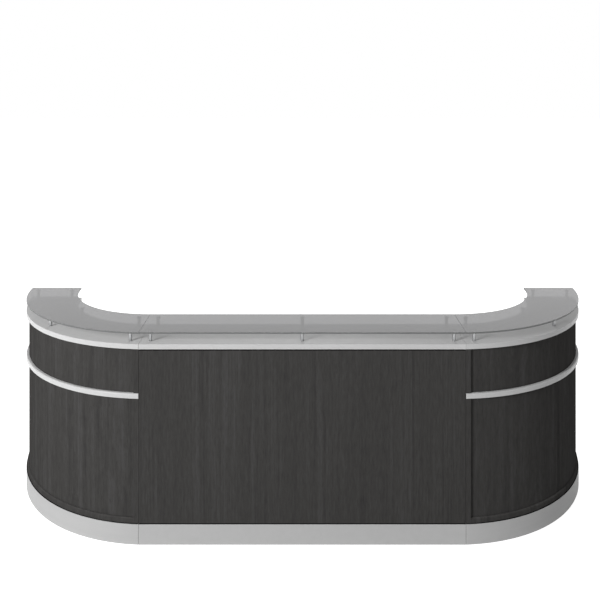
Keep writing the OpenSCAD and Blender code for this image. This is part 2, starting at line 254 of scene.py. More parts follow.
class Graph:
    """Adds and joins the nodes of one material or world."""

    def __init__(self, owner: bpy.types.Material | bpy.types.World) -> None:
        """Clears the owner's node tree and gives it an output.

        Args:
            owner: The material or world.
        """
        owner.use_nodes = True
        self.tree = owner.node_tree
        self.tree.nodes.clear()
        self.output = self.add("OutputWorld" if isinstance(owner, bpy.types.World) else "OutputMaterial")

    def add(
        self, kind: str, inputs: dict[str | int, Value] | None = None, **settings: object
    ) -> bpy.types.Node:
        """Adds one node.

        Args:
            kind: Blender's name for the node, without its first part.
            inputs: What goes into its sockets, by their names or places.
            settings: Its settings by name.

        Returns:
            The node.
        """
        node = self.tree.nodes.new(f"ShaderNode{kind}")
        for name, value in settings.items():
            setattr(node, name, value)
        for key, value in (inputs or {}).items():
            self.feed(node.inputs[key], value)
        return node

    def feed(self, target: Socket, value: Value) -> None:
        """Joins a socket to the target, or sets the target to a plain value.

        Args:
            target: A node's input.
            value: Another node's output, or the plain value.
        """
        if isinstance(value, bpy.types.NodeSocket):
            self.tree.links.new(value, target)
        else:
            target.default_value = value

    def show(self, surface: Socket) -> None:
        """Joins a shader to the output."""
        self.feed(self.output.inputs["Surface"], surface)

    def grain(self, factors: Sequence[float]) -> Socket:
        """Coordinates across a board's fibres, along them and through it, times three factors."""
        return self.scaled(self.add("Attribute", attribute_name=GRAIN).outputs["Vector"], factors)

    def place(self, *factors: float) -> Socket:
        """Coordinates in the piece's own space, times three factors or one for all axes."""
        return self.scaled(self.add("TexCoord").outputs["Object"], factors * (3 // len(factors)))

    def scaled(self, vector: Socket, factors: Sequence[float]) -> Socket:
        """Multiplies coordinates by three factors."""
        return self.vector("MULTIPLY", vector, factors)

    def vector(self, operation: str, *values: Socket | Sequence[float]) -> Socket:
        """Result of one operation on vectors."""
        return self.add("VectorMath", dict(enumerate(values)), operation=operation).outputs["Vector"]

    def math(self, operation: str, *values: Socket | float) -> Socket:
        """Result of one operation on numbers."""
        return self.add("Math", dict(enumerate(values)), operation=operation).outputs["Value"]

    def product(self, first: Socket | float, second: Socket | float) -> Socket:
        """Product of two numbers."""
        return self.math("MULTIPLY", first, second)

    def noise(
        self, vector: Socket, detail: float = 3.0, roughness: float = 0.55, colour: bool = False
    ) -> Socket:
        """Soft noise at one repeat per unit of the coordinates, as one value or as three."""
        inputs = {"Scale": 1.0, "Detail": detail, "Roughness": roughness, "Vector": vector}
        return self.add("TexNoise", inputs).outputs["Color" if colour else "Fac"]

    def wander(self, place: Socket, bend: float, factors: Sequence[float]) -> Socket:
        """Lets straight fibres wander sideways.

        Args:
            place: Coordinates along the board, in metres.
            bend: How far they wander, in metres.
            factors: Bends per metre in its three directions.

        Returns:
            The bent coordinates.
        """
        turns = self.noise(self.scaled(place, factors), detail=2.0, colour=True)
        offset = self.vector("MULTIPLY_ADD", turns, (bend, 0.0, bend), (-bend / 2, 0.0, -bend / 2))
        return self.vector("ADD", place, offset)

    def knots(
        self, place: Socket, density: Sequence[float], reach: Point, pull: float
    ) -> tuple[Socket, Socket]:
        """Scatters knots and leads the fibres round them.

        Args:
            place: Coordinates along the board, in metres.
            density: Knots per metre in its three directions.
            reach: Distances at which the pull on the fibres is full and gone, in a knot's spacing.
            pull: How strongly the fibres are drawn towards a knot.

        Returns:
            The bent coordinates, and the distance to the nearest knot in its own spacing.
        """
        spots = self.scaled(place, density)
        cells = self.add("TexVoronoi", {"Scale": 1.0, "Vector": spots}).outputs
        force = self.spread(cells["Distance"], (pull, 0.0), reach)
        drawn = self.vector("MULTIPLY", self.vector("SUBTRACT", cells["Position"], spots), force)
        bent = self.vector("ADD", place, self.scaled(drawn, [1.0 / d for d in density]))
        return bent, cells["Distance"]

    def spread(self, value: Socket, new: Point, old: Point = NOISE_CORE) -> Socket:
        """Maps one range of values smoothly onto another and clamps it.

        Args:
            value: The value.
            new: Range that it is mapped onto.
            old: Range that it comes from.

        Returns:
            The mapped value.
        """
        inputs = dict(zip(("From Min", "From Max", "To Min", "To Max"), (*old, *new)))
        node = self.add("MapRange", {**inputs, "Value": value}, interpolation_type="SMOOTHSTEP")
        return node.outputs["Result"]

    def blend(self, *shares: tuple[Socket, float]) -> Socket:
        """Adds up values.

        Args:
            shares: Each value with the share that it has.

        Returns:
            The sum.
        """
        total: Socket | float = 0.0
        for value, share in shares:
            total = self.math("MULTIPLY_ADD", value, share, total)
        return total

    def ramp(self, value: Socket, stops: Sequence[tuple[float, Colour]]) -> Socket:
        """Gives a value a colour.

        Args:
            value: The value.
            stops: Values and the colours that they have.

        Returns:
            The colour.
        """
        node = self.add("ValToRGB", {"Fac": value})
        elements = node.color_ramp.elements
        while len(elements) < len(stops):
            elements.new(1.0)
        for element, (position, colour) in zip(elements, stops):
            element.position = position
            element.color = colour
        return node.outputs["Color"]

    def shaded(self, colour: Socket | Colour, share: Socket) -> Socket:
        """Colour multiplied by a grey share."""
        inputs = {"Factor": 1.0, "A": colour, "B": share}
        return self.add("Mix", inputs, data_type="RGBA", blend_type="MULTIPLY").outputs["Result"]

    def bump(self, height: Socket, distance: float, strength: float) -> Socket:
        """Normal of a surface raised by a height."""
        inputs = {"Strength": strength, "Distance": distance, "Height": height}
        return self.add("Bump", inputs).outputs["Normal"]

    def upward(self) -> Socket:
        """How far a surface faces up: 1 on a level top, 0 on an upright face."""
        normal = self.add("NewGeometry").outputs["Normal"]
        return self.add("SeparateXYZ", {"Vector": normal}).outputs["Z"]

    def seen_directly(self) -> Socket:
        """Tells rays that show a surface from rays that light one.

        Returns:
            1 for rays from the camera, from gloss and through glass, and otherwise 0.
        """
        path = self.add("LightPath").outputs
        either = self.math("MAXIMUM", path["Is Camera Ray"], path["Is Glossy Ray"])
        return self.math("MAXIMUM", either, path["Is Transmission Ray"])

    def surface(self, **values: Value) -> Socket:
        """Adds the main shader and joins it to the output.

        Args:
            values: Sockets by name, with underscores for spaces.

        Returns:
            The shader.
        """
        inputs = {name.replace("_", " "): value for name, value in values.items()}
        shader = self.add("BsdfPrincipled", inputs).outputs["BSDF"]
        self.show(shader)
        return shader


@dataclass(frozen=True)
class Finish:
    """One finish of the desk, with the record's slot that it belongs to."""

    name: str
    slot: str
    colour: str

    @functools.lru_cache(maxsize=None)
    def material(self) -> bpy.types.Material:
        """Makes the material once and hands it out.

        Returns:
            The material.
        """
        material = bpy.data.materials.new(self.name)
        material.diffuse_color = linear(self.colour)
        self.fill(Graph(material))
        return material

    def fill(self, graph: Graph) -> None:
        """Builds the nodes of this finish."""
        raise NotImplementedError


@dataclass(frozen=True)
class WoodgrainLaminate(Finish):
    """Matt laminate with a fine dark grain, a few faint knots and open pores."""

    name: str = "dark_woodgrain_laminate"
    slot: str = "dark_laminate"
    colour: str = "#434241"
    deep: str = "#3a3939"
    pale: str = "#4b4a4a"
    # Repeats per metre across the fibres, along them and through the board
    bends: Triple = (5.0, 1.6, 5.0)
    knots: Triple = (2.2, 1.3, 2.2)
    streaks: Triple = (26.0, 0.5, 26.0)
    flecks: Triple = (70.0, 16.0, 70.0)
    bands: Triple = (7.0, 0.9, 7.0)
    pores: Triple = (820.0, 26.0, 820.0)
    # How far the fibres wander, and how a knot draws them in
    bend: float = 0.012
    knot_reach: Point = (0.05, 0.34)
    knot_pull: float = 0.60
    # What each pattern adds to the tone or takes from it
    line_share: float = 0.62
    fleck_share: float = 0.30
    band_share: float = 0.12
    knot_shade: float = 0.10
    pore_shade: float = 0.72
    pore_depth: float = 0.00010
    shine: float = 0.0
    # Faces that turn up are painted paler: painted light on tops and ledges
    painted_top_light: float = 1.35

    def fill(self, graph: Graph) -> None:
        """Builds long streaks, short flecks, wide bands, knots and pores along the fibres.

        Args:
            graph: Nodes of the material.
        """
        place = graph.wander(graph.grain((1.0, 1.0, 1.0)), self.bend, self.bends)
        place, knot = graph.knots(place, self.knots, self.knot_reach, self.knot_pull)
        streaks = graph.noise(graph.scaled(place, self.streaks), detail=4.0, roughness=0.74)
        flecks = graph.noise(graph.scaled(place, self.flecks), detail=2.0, roughness=0.60)
        bands = graph.noise(graph.scaled(place, self.bands), detail=2.0)
        pores = graph.noise(graph.grain(self.pores), detail=2.0)
        force = graph.spread(bands, (0.25, 1.30), (0.36, 0.64))
        lines = graph.product(graph.math("SUBTRACT", streaks, 0.5), force)
        mixed = graph.blend((lines, self.line_share), (flecks, self.fleck_share), (bands, self.band_share))
        tone = graph.math("ADD", mixed, (1.0 - self.fleck_share - self.band_share) / 2)
        tone = graph.math("SUBTRACT", tone, graph.spread(knot, (self.knot_shade, 0.0), (0.02, 0.16)))
        shades = [(0.34, self.deep), (0.50, self.colour), (0.66, self.pale)]
        colour = graph.ramp(tone, [(value, linear(shade)) for value, shade in shades])
        ticks = graph.spread(pores, (1.0, self.pore_shade), (0.60, 0.70))
        height = graph.math("ADD", graph.product(streaks, 0.5), ticks)
        # Painted light: the colour is lifted on faces that turn up
        top_light = graph.spread(graph.upward(), (1.0, self.painted_top_light), (0.5, 0.9))
        graph.surface(
            Base_Color=graph.shaded(colour, graph.product(ticks, top_light)),
            Roughness=graph.spread(streaks, (0.58, 0.46)),
            Specular_IOR_Level=self.shine,
            Normal=graph.bump(height, self.pore_depth, 0.35),
        )


@dataclass(frozen=True)
class PlainLaminate(Finish):
    """Satin white laminate, or the edge band that goes with it."""

    name: str = "white_laminate"
    slot: str = "white_laminate"
    colour: str = "#cdcdcd"
    roughness: float = 0.42
    texture: float = 0.00004
    gloss: float = 0.08
    # Repeats per metre of the mottle, the handling marks and the pressed texture
    cloud: float = 3.5
    marks: float = 24.0
    pressed: float = 900.0

    def fill(self, graph: Graph) -> None:
        """Builds a faint mottle, a fine pressed texture and slight handling marks.

        Args:
            graph: Nodes of the material.
        """
        cloud = graph.noise(graph.place(self.cloud), detail=4.0)
        marks = graph.noise(graph.place(self.marks), detail=6.0, roughness=0.65)
        pressed = graph.noise(graph.place(self.pressed), detail=2.0)
        touched = graph.spread(marks, (1.0, 0.985), (0.35, 0.7))
        tone = graph.product(graph.spread(cloud, (0.975, 1.0)), touched)
        graph.surface(
            Base_Color=graph.shaded(linear(self.colour), tone),
            Roughness=graph.spread(marks, (self.roughness - 0.05, self.roughness + 0.07)),
            Specular_IOR_Level=self.gloss,
            Normal=graph.bump(pressed, self.texture, 0.5),
        )


@dataclass(frozen=True)
class BrushedLaminate(Finish):
    """Silver laminate of the plinth with a fine brushed texture."""

    name: str = "silver_laminate"
    slot: str = "silver_laminate"
    colour: str = "#bcbcbc"
    metal: float = 0.08
    gloss: float = 0.03
    # Repeats per metre of the brushing and of the slow changes of tone, along the board and up it
    lines: Triple = (3.0, 1500.0, 1500.0)
    drift: Triple = (2.2, 34.0, 34.0)
    line_depth: float = 0.00003

    def fill(self, graph: Graph) -> None:
        """Builds the fine brushing with slow changes of tone.

        Args:
            graph: Nodes of the material.
        """
        lines = graph.noise(graph.grain(self.lines))
        drift = graph.noise(graph.grain(self.drift))
        tone = graph.product(graph.spread(lines, (0.97, 1.02)), graph.spread(drift, (0.985, 1.01)))
        graph.surface(
            Base_Color=graph.shaded(linear(self.colour), tone),
            Metallic=self.metal,
            Roughness=graph.spread(lines, (0.42, 0.54)),
            Specular_IOR_Level=self.gloss,
            Normal=graph.bump(lines, self.line_depth, 0.4),
        )


@dataclass(frozen=True)
class TintedGlass(Finish):
    """Grey glass with a faint haze, which lets lamps and the room light what stands below it."""

    name: str = "grey_glass"
    slot: str = "grey_glass"
    colour: str = "#8b8b8c"
    clear_share: float = 0.60
    roughness: Point = (0.015, 0.05)
    smear: float = 7.0
    refraction: float = 1.48
    # What the glass lets through of a lamp's light and of the room's
    lamp_tint: str = "#d8d8d8"
    room_tint: str = "#f6f6f6"

    def fill(self, graph: Graph) -> None:
        """Builds a grey body that is partly clear, and lets light fall through it as a grey.

        Args:
            graph: Nodes of the material.
        """
        smear = graph.noise(graph.place(self.smear), detail=5.0)
        result = graph.surface(
            Base_Color=linear(self.colour),
            Roughness=graph.spread(smear, self.roughness, (0.35, 0.7)),
            Transmission_Weight=self.clear_share,
            IOR=self.refraction,
        )
        path = graph.add("LightPath").outputs
        for ray, tint in (("Is Shadow Ray", self.lamp_tint), ("Is Diffuse Ray", self.room_tint)):
            clear = graph.add("BsdfTransparent", {"Color": linear(tint)}).outputs["BSDF"]
            result = graph.add("MixShader", {0: path[ray], 1: result, 2: clear}).outputs["Shader"]
        graph.show(result)


@dataclass(frozen=True)
class TurnedSteel(Finish):
    """Bare or plated steel with fine machining lines."""

    name: str = "satin_steel"
    slot: str = "satin_steel"
    colour: str = "#b0b1b2"
    roughness: float = 0.46
    blotch: float = 0.04
    # Repeats per metre of the machining lines, which run round Z, and of the blotches
    lines: Triple = (60.0, 60.0, 5200.0)
    cloud: float = 160.0
    line_depth: float = 0.00002

    def fill(self, graph: Graph) -> None:
        """Builds lines round the piece and a light change of tone.

        Args:
            graph: Nodes of the material.
        """
        lines = graph.noise(graph.place(*self.lines), detail=2.0)
        cloud = graph.noise(graph.place(self.cloud), detail=4.0)
        tone = graph.spread(cloud, (1.0 - 2 * self.blotch, 1.0))
        graph.surface(
            Base_Color=graph.shaded(linear(self.colour), tone),
            Metallic=1.0,
            Roughness=graph.spread(lines, (self.roughness - 0.06, self.roughness + 0.08)),
            Normal=graph.bump(lines, self.line_depth, 0.5),
        )


@dataclass(frozen=True)
class PowderCoat(Finish):
    """Fine-textured powder coat on sheet steel."""

    name: str = "grey_powder_coat"
    slot: str = "grey_steel"
    colour: str = "#a9abac"
    gloss: float = 0.45
    # Repeats per metre of the fine texture and of the change of tone
    peel: float = 1300.0
    cloud: float = 20.0
    peel_depth: float = 0.00008

    def fill(self, graph: Graph) -> None:
        """Builds the fine orange-peel texture of the coat.

        Args:
            graph: Nodes of the material.
        """
        peel = graph.noise(graph.place(self.peel), detail=2.0)
        tone = graph.spread(graph.noise(graph.place(self.cloud)), (0.95, 1.0))
        graph.surface(
            Base_Color=graph.shaded(linear(self.colour), tone),
            Roughness=graph.spread(peel, (0.45, 0.6)),
            Specular_IOR_Level=self.gloss,
            Normal=graph.bump(peel, self.peel_depth, 0.6),
        )


@dataclass(frozen=True)
class MouldedPlastic(Finish):
    """Moulded plastic with a fine spark-eroded texture."""

    name: str = "black_plastic"
    slot: str = "black_plastic"
    colour: str = "#232426"
    gloss: float = 0.40
    # Repeats per metre of the fine texture and of the touched spots
    texture: float = 2200.0
    touched: float = 70.0
    texture_depth: float = 0.00005

    def fill(self, graph: Graph) -> None:
        """Builds the fine matt texture and a slight greying where it is touched.

        Args:
            graph: Nodes of the material.
        """
        texture = graph.noise(graph.place(self.texture), detail=2.0)
        touched = graph.noise(graph.place(self.touched), detail=5.0)
        tone = graph.spread(touched, (0.85, 1.15), (0.35, 0.7))
        graph.surface(
            Base_Color=graph.shaded(linear(self.colour), tone),
            Roughness=graph.spread(touched, (0.42, 0.56)),
            Specular_IOR_Level=self.gloss,
            Normal=graph.bump(texture, self.texture_depth, 0.6),
        )


@dataclass(frozen=True)
class Finishes:
    """All finishes of the desk."""

    wood: Finish = WoodgrainLaminate()
    white: Finish = PlainLaminate()
    white_band: Finish = PlainLaminate(
        name="white_edge_band", colour="#cacaca", roughness=0.34, texture=0.00001, gloss=0.25
    )
    # Near-black paint on faces in joints and shadow gaps: a painted shade
    gap_shade: Finish = PlainLaminate(
        name="painted_gap_shadow", slot="dark_laminate", colour="#0c0c0c", roughness=0.60, gloss=0.0
    )
    silver: Finish = BrushedLaminate()
    glass: Finish = TintedGlass()
    glass_edge: Finish = TintedGlass(
        name="seamed_glass_edge", colour="#6c6d6d", clear_share=0.20, roughness=(0.45, 0.60)
    )
    steel: Finish = TurnedSteel()
    bond: Finish = MouldedPlastic(name="bonding_film", slot="satin_steel", colour="#121313", gloss=0.0)
    zinc: Finish = TurnedSteel(
        name="zinc_plate", slot="zinc_steel", colour="#adb0b3", roughness=0.40, blotch=0.12
    )
    powder: Finish = PowderCoat()
    plastic: Finish = MouldedPlastic()
    nylon: Finish = MouldedPlastic(name="black_nylon", slot="foot_plastic", colour="#1e1f20")


def from_solids(node: str) -> Mesh:
    """Copies a node's solids as one mesh.

    Args:
        node: Name of a node of the frame.

    Returns:
        The copy, which the caller owns.
    """
    shape = bmesh.new()
    shape.from_mesh(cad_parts[node].data)
    bmesh.ops.remove_doubles(shape, verts=shape.verts, dist=WELD)
    return shape


def from_node(node: str) -> Mesh:
    """Copies a node's solids as one mesh with one face for each flat side.

    Args:
        node: Name of a node of the frame.

    Returns:
        The copy, which the caller owns.
    """
    shape = from_solids(node)
    bmesh.ops.dissolve_limit(shape, angle_limit=math.radians(1), verts=shape.verts, edges=shape.edges)
    return shape


def bridge(shape: Mesh, rings: Sequence[Sequence[bmesh.types.BMVert]]) -> None:
    """Lays faces from each closed ring of points to the next.

    Args:
        shape: The mesh that holds the points, changed in place.
        rings: Rings with the same number of points, apart from single points on the axis.
    """
    for low, high in zip(rings, rings[1:]):
        for i in range(max(len(low), len(high))):
            below = [low[i - 1], low[i]] if len(low) > 1 else low
            above = [high[i], high[i - 1]] if len(high) > 1 else high
            shape.faces.new([*below, *above])


def from_outline(outline: Outline, bottom: float, top: float) -> Mesh:
    """Raises an outline between two levels.

    Args:
        outline: The plan, anticlockwise.
        bottom: Lower level.
        top: Upper level.

    Returns:
        The closed mesh, which the caller owns.
    """
    shape = bmesh.new()
    low, high = [[shape.verts.new((*point, z)) for point in outline.points] for z in (bottom, top)]
    shape.faces.new(list(reversed(low)))
    shape.faces.new(high)
    bridge(shape, [low, high])
    return shape


def circle(radius: float, level: float, steps: int) -> list[Vector]:
    """Points round the Z axis at one level."""
    turns = [2 * math.pi * i / steps for i in range(steps)]
    return [Vector((radius * math.cos(turn), radius * math.sin(turn), level)) for turn in turns]


def from_profile(profile: Sequence[Point], steps: int = 40) -> Mesh:
    """Turns a profile round the Z axis.

    Args:
        profile: Radius and height of its points, from the bottom to the top on the outside.
        steps: Number of straight pieces round the axis.

    Returns:
        The closed mesh, which the caller owns.
    """
    shape = bmesh.new()
    rings = []
    for radius, height in profile:
        points = circle(radius, height, steps) if radius > TINY else [(0.0, 0.0, height)]
        rings.append([shape.verts.new(point) for point in points])
    if min(radius for radius, _ in profile) > TINY:
        rings.append(rings[0])
    bridge(shape, rings)
    return shape


def soften(
    shape: Mesh, radius: float, segments: int = 2,
    choose: Callable[[bmesh.types.BMEdge], bool] | None = None,
) -> None:
    """Rounds the sharp edges of a mesh.

    Args:
        shape: The mesh, changed in place.
        radius: Width of the rounding.
        segments: Number of faces across it.
        choose: Says of a sharp edge whether it is rounded. Every one is if it is left out.
    """
    shape.normal_update()
    edges = [e for e in shape.edges if len(e.link_faces) == 2 and e.calc_face_angle(0.0) > SHARP_TURN]
    edges = [e for e in edges if choose is None or choose(e)]
    bmesh.ops.bevel(
        shape, geom=edges, offset=radius, segments=segments, profile=0.5, affect="EDGES", clamp_overlap=True
    )


def part_seam(shape: Mesh, seam: float, shift: float) -> None:
    """Draws the faces that lie on a seam back, so that the joint shows as a fine line.

    Args:
        shape: The mesh, changed in place.
        seam: Distance from the seam to the middle of the desk.
        shift: How far the faces move away from the middle.
    """
    for vert in shape.verts:
        if abs(abs(vert.co.x) - seam) < WELD:
            vert.co.x += shift if vert.co.x > 0 else -shift


def joined(shapes: Iterable[Mesh]) -> Mesh:
    """Gathers meshes into one.

    Args:
        shapes: The meshes, which are freed.

    Returns:
        The new mesh, which the caller owns.
    """
    whole = bmesh.new()
    for shape in shapes:
        mesh = bpy.data.meshes.new("part")
        shape.to_mesh(mesh)
        shape.free()
        whole.from_mesh(mesh)
        bpy.data.meshes.remove(mesh)
    return whole


def moved(shape: Mesh, matrix: Matrix) -> Mesh:
    """Moves a mesh and hands it back."""
    shape.transform(matrix)
    return shape


def add_object(name: str, data: bpy.types.ID) -> bpy.types.Object:
    """Makes an object and links it to the scene.

    Args:
        name: Its name.
        data: Its mesh, camera or lamp.

    Returns:
        The object.
    """
    thing = bpy.data.objects.new(name, data)
    bpy.context.scene.collection.objects.link(thing)
    return thing


def to_middle(box: Box) -> Matrix:
    """Shift that takes what stands on the Z axis to the middle of a box, seen from above."""
    middle = (box[0] + box[1]) / 2
    return Matrix.Translation((middle.x, middle.y, 0.0))


def upright(point: Vector) -> Vector:
    """Grain that runs up a straight board, whether the board stands along X or along Y."""
    return Vector((point.x + point.y, point.z, point.x - point.y))


def lengthwise(point: Vector) -> Vector:
    """Grain that runs along X."""
    return Vector((point.y + point.z, point.x, point.y - point.z))


def parts_of(node: str) -> list[Box]:
    """Finds the separate solids of a node.

    Args:
        node: Name of a node that holds a group of fasteners.

    Returns:
        The lowest and highest corner of each solid, from left to right.
    """
    shape = from_solids(node)
    found, seen = [], set()
    for vert in shape.verts:
        if vert in seen:
            continue
        reach, group = [vert], {vert}
        while reach:
            for edge in reach.pop().link_edges:
                fresh = set(edge.verts) - group
                group |= fresh
                reach.extend(fresh)
        seen |= group
        columns = list(zip(*(v.co for v in group)))
        found.append((Vector([min(c) for c in columns]), Vector([max(c) for c in columns])))
    shape.free()
    return sorted(found, key=lambda box: tuple(round(c, 5) for c in box[0]))


@dataclass(frozen=True)
class SocketHead:
    """Head of a screw or bolt with a hexagonal socket."""

    radius: float = 0.0038
    height: float = 0.0022
    socket_width: float = 0.00304
    socket_depth: float = 0.00132
    chamfer_share: float = 0.18
    steps: int = 24

    def hexagon(self, level: float) -> list[Vector]:
        """Draws the rim of the socket with as many points as the head's circles.

        Args:
            level: Its level.

        Returns:
            Its points.
        """
        sector = math.pi / 3
        points = []
        for i in range(self.steps):
            turn = 2 * math.pi * i / self.steps
            reach = self.socket_width / 2 / math.cos((turn % sector) - sector / 2)
            points.append(Vector((reach * math.cos(turn), reach * math.sin(turn), level)))
        return points

    def build(self) -> Mesh:
        """Builds the head, standing on the plane Z = 0.

        Returns:
            The closed mesh, which the caller owns.
        """
        radius, height = self.radius, self.height
        chamfer = min(radius, height) * self.chamfer_share
        sizes = [(radius, 0.0), (radius, height - chamfer), (radius - chamfer, height)]
        loops = [circle(size, level, self.steps) for size, level in sizes]
        loops += [self.hexagon(height), self.hexagon(height - self.socket_depth)]
        shape = bmesh.new()
        rings = [[shape.verts.new(point) for point in loop] for loop in loops]
        shape.faces.new(list(reversed(rings[0])))
        shape.faces.new(rings[-1])
        bridge(shape, rings)
        return shape


@dataclass
class SubAssembly:
    """Common ground of the sub-assemblies: finished pieces that ride on the frame."""

    plan: DeskPlan
    finishes: Finishes
    edge_softening: float = 0.0010
    glass_softening: float = 0.0005
    # Pieces made so far, by all sub-assemblies
    count = 0

    def place(
        self,
        shape: Mesh,
        name: str,
        finishes: Sequence[Finish],
        nodes: Sequence[str] = (),
        body: str = DESK,
        fibres: Fibres = upright,
    ) -> None:
        """Turns a mesh into a finished piece.

        Args:
            shape: The mesh in the frame's axes. It is freed.
            name: Name of the piece.
            finishes: One finish for each material index.
            nodes: Nodes that the piece stands for.
            body: Body that it rides on.
            fibres: Gives a point's place across, along and through the board's grain.
        """
        SubAssembly.count += 1
        mesh = bpy.data.meshes.new(name)
        bmesh.ops.recalc_face_normals(shape, faces=shape.faces)
        shape.to_mesh(mesh)
        shape.free()
        mesh.polygons.foreach_set("use_smooth", [True] * len(mesh.polygons))
        mesh.set_sharp_from_angle(angle=CREASE)
        for finish in finishes:
            mesh.materials.append(finish.material())
        attribute = mesh.attributes.new(GRAIN, "FLOAT_VECTOR", "POINT")
        for value, vertex in zip(attribute.data, mesh.vertices):
            value.vector = fibres(vertex.co) + GRAIN_STEP * SubAssembly.count
        piece = add_object(name, mesh)
        piece.modifiers.new("flat faces", "WEIGHTED_NORMAL").keep_sharp = True
        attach(piece, body)
        if nodes:
            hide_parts(*nodes)
        LOG.info("%s: %d faces on %s", name, len(mesh.polygons), body)

    def place_set(self, node: str, make: Callable[[Box], Mesh], *finishes: Finish) -> None:
        """Makes each solid of a node anew from its box, and places them all as one piece."""
        self.place(joined(make(box) for box in parts_of(node)), f"{node}_set", finishes, [node])

    def softening(self, face: Finish) -> float:
        """Rounding of a board's edges, which is finer on glass than on laminate."""
        return self.glass_softening if face is self.finishes.glass else self.edge_softening

    def board(
        self, node: str, face: Finish, band: Finish | None = None, shift: float = 0.0,
        shaded_gaps: GapShade = GapShade.SEAM,
    ) -> None:
        """Dresses a flat board after its solid.

        Args:
            node: The node that it stands for.
            face: Finish of its faces.
            band: Finish of the edge band of a level board.
            shift: How far its faces on a seam move away from the middle.
            shaded_gaps: Which of its edges are painted black as the shade of a joint or shadow gap.
        """
        shape = from_node(node)
        part_seam(shape, self.plan.half_width, shift)
        soften(shape, self.softening(face))
        self.finish_board(shape, node, face, band, shaded_gaps)

    def finish_board(
        self, shape: Mesh, node: str, face: Finish, band: Finish | None, shaded_gaps: GapShade,
        fibres: Fibres = upright,
    ) -> None:
        """Gives a softened board its face, its band and the near-black paint of its joints and shadow gaps,
        and places it.

        Args:
            shape: The board's mesh.
            node: The node that it stands for.
            face: Finish of its faces.
            band: Finish of the edge band of a level board, if it has one.
            shaded_gaps: Which of its edges are painted black as the shade of a joint or shadow gap.
            fibres: Run of the grain, as in place.
        """
        shape.normal_update()
        finishes = [face, band or face, self.finishes.gap_shade]
        chosen = [self.choose_finish(side, face, band, shaded_gaps) for side in shape.faces]
        used = sorted(set(chosen))
        for side, index in zip(shape.faces, chosen):
            side.material_index = used.index(index)
        self.place(shape, f"{node}_board", [finishes[i] for i in used], [node], fibres=fibres)

    def choose_finish(
        self, side: bmesh.types.BMFace, face: Finish, band: Finish | None, shaded_gaps: GapShade
    ) -> int:
        """Chooses the finish of one face of a board.

        Args:
            side: The face.
            face: Finish of the board's faces.
            band: Finish of its edge band, if it has one.
            shaded_gaps: Which of its edges are painted black as the shade of a joint or shadow gap.

        Returns:
            0 for the finish of its faces, 1 for its band and 2 for near-black paint as the shade of a joint
            or gap.
        """
        normal = side.normal
        off_seam = abs(abs(side.calc_center_median().x) - self.plan.half_width)
        slope = ROUNDED if face is self.finishes.wood else SQUARE_ON
        facing = {
            "seam": abs(normal.x) > SQUARE_ON and off_seam < 3 * self.plan.seam_gap,
            "top": normal.z > slope,
            "bottom": normal.z < -slope,
        }
        # Faces in a joint or a shadow gap get near-black paint, a painted shade
        if any(facing[gap] for gap in shaded_gaps.value):
            return 2
        return int(band is not None and abs(normal.z) < LEVEL)


@dataclass
class MiddleModule(SubAssembly):
    """Straight module: plinth, panels, worktop, counter and its pane of glass."""

    def build(self) -> None:
        """Builds every board of the module."""
        wood, white, band = self.finishes.wood, self.finishes.white, self.finishes.white_band
        gap = -self.plan.seam_gap / 2
        # The plinth's top and the fascia's top and bottom edges get near-black paint: painted shade in the
        # shadow gaps
        self.board("centre_plinth", self.finishes.silver, shift=gap, shaded_gaps=GapShade.TOP)
        self.board("front_rail", wood, shaded_gaps=GapShade.NONE)
        self.board("centre_fascia", wood, shift=gap, shaded_gaps=GapShade.BOTH)
        self.board("centre_upper_divider", wood, shaded_gaps=GapShade.NONE)
        for side in Side:
            self.board(f"centre_gable_{side.label}", wood, shift=gap, shaded_gaps=GapShade.NONE)
            self.board(f"centre_upper_side_{side.label}", wood, shift=gap, shaded_gaps=GapShade.NONE)
        self.board("centre_worktop", white, band, shift=gap)
        self.board("centre_counter", white, band, shift=gap)
        self.board("centre_glass", self.finishes.glass, self.finishes.glass_edge, gap, GapShade.NONE)


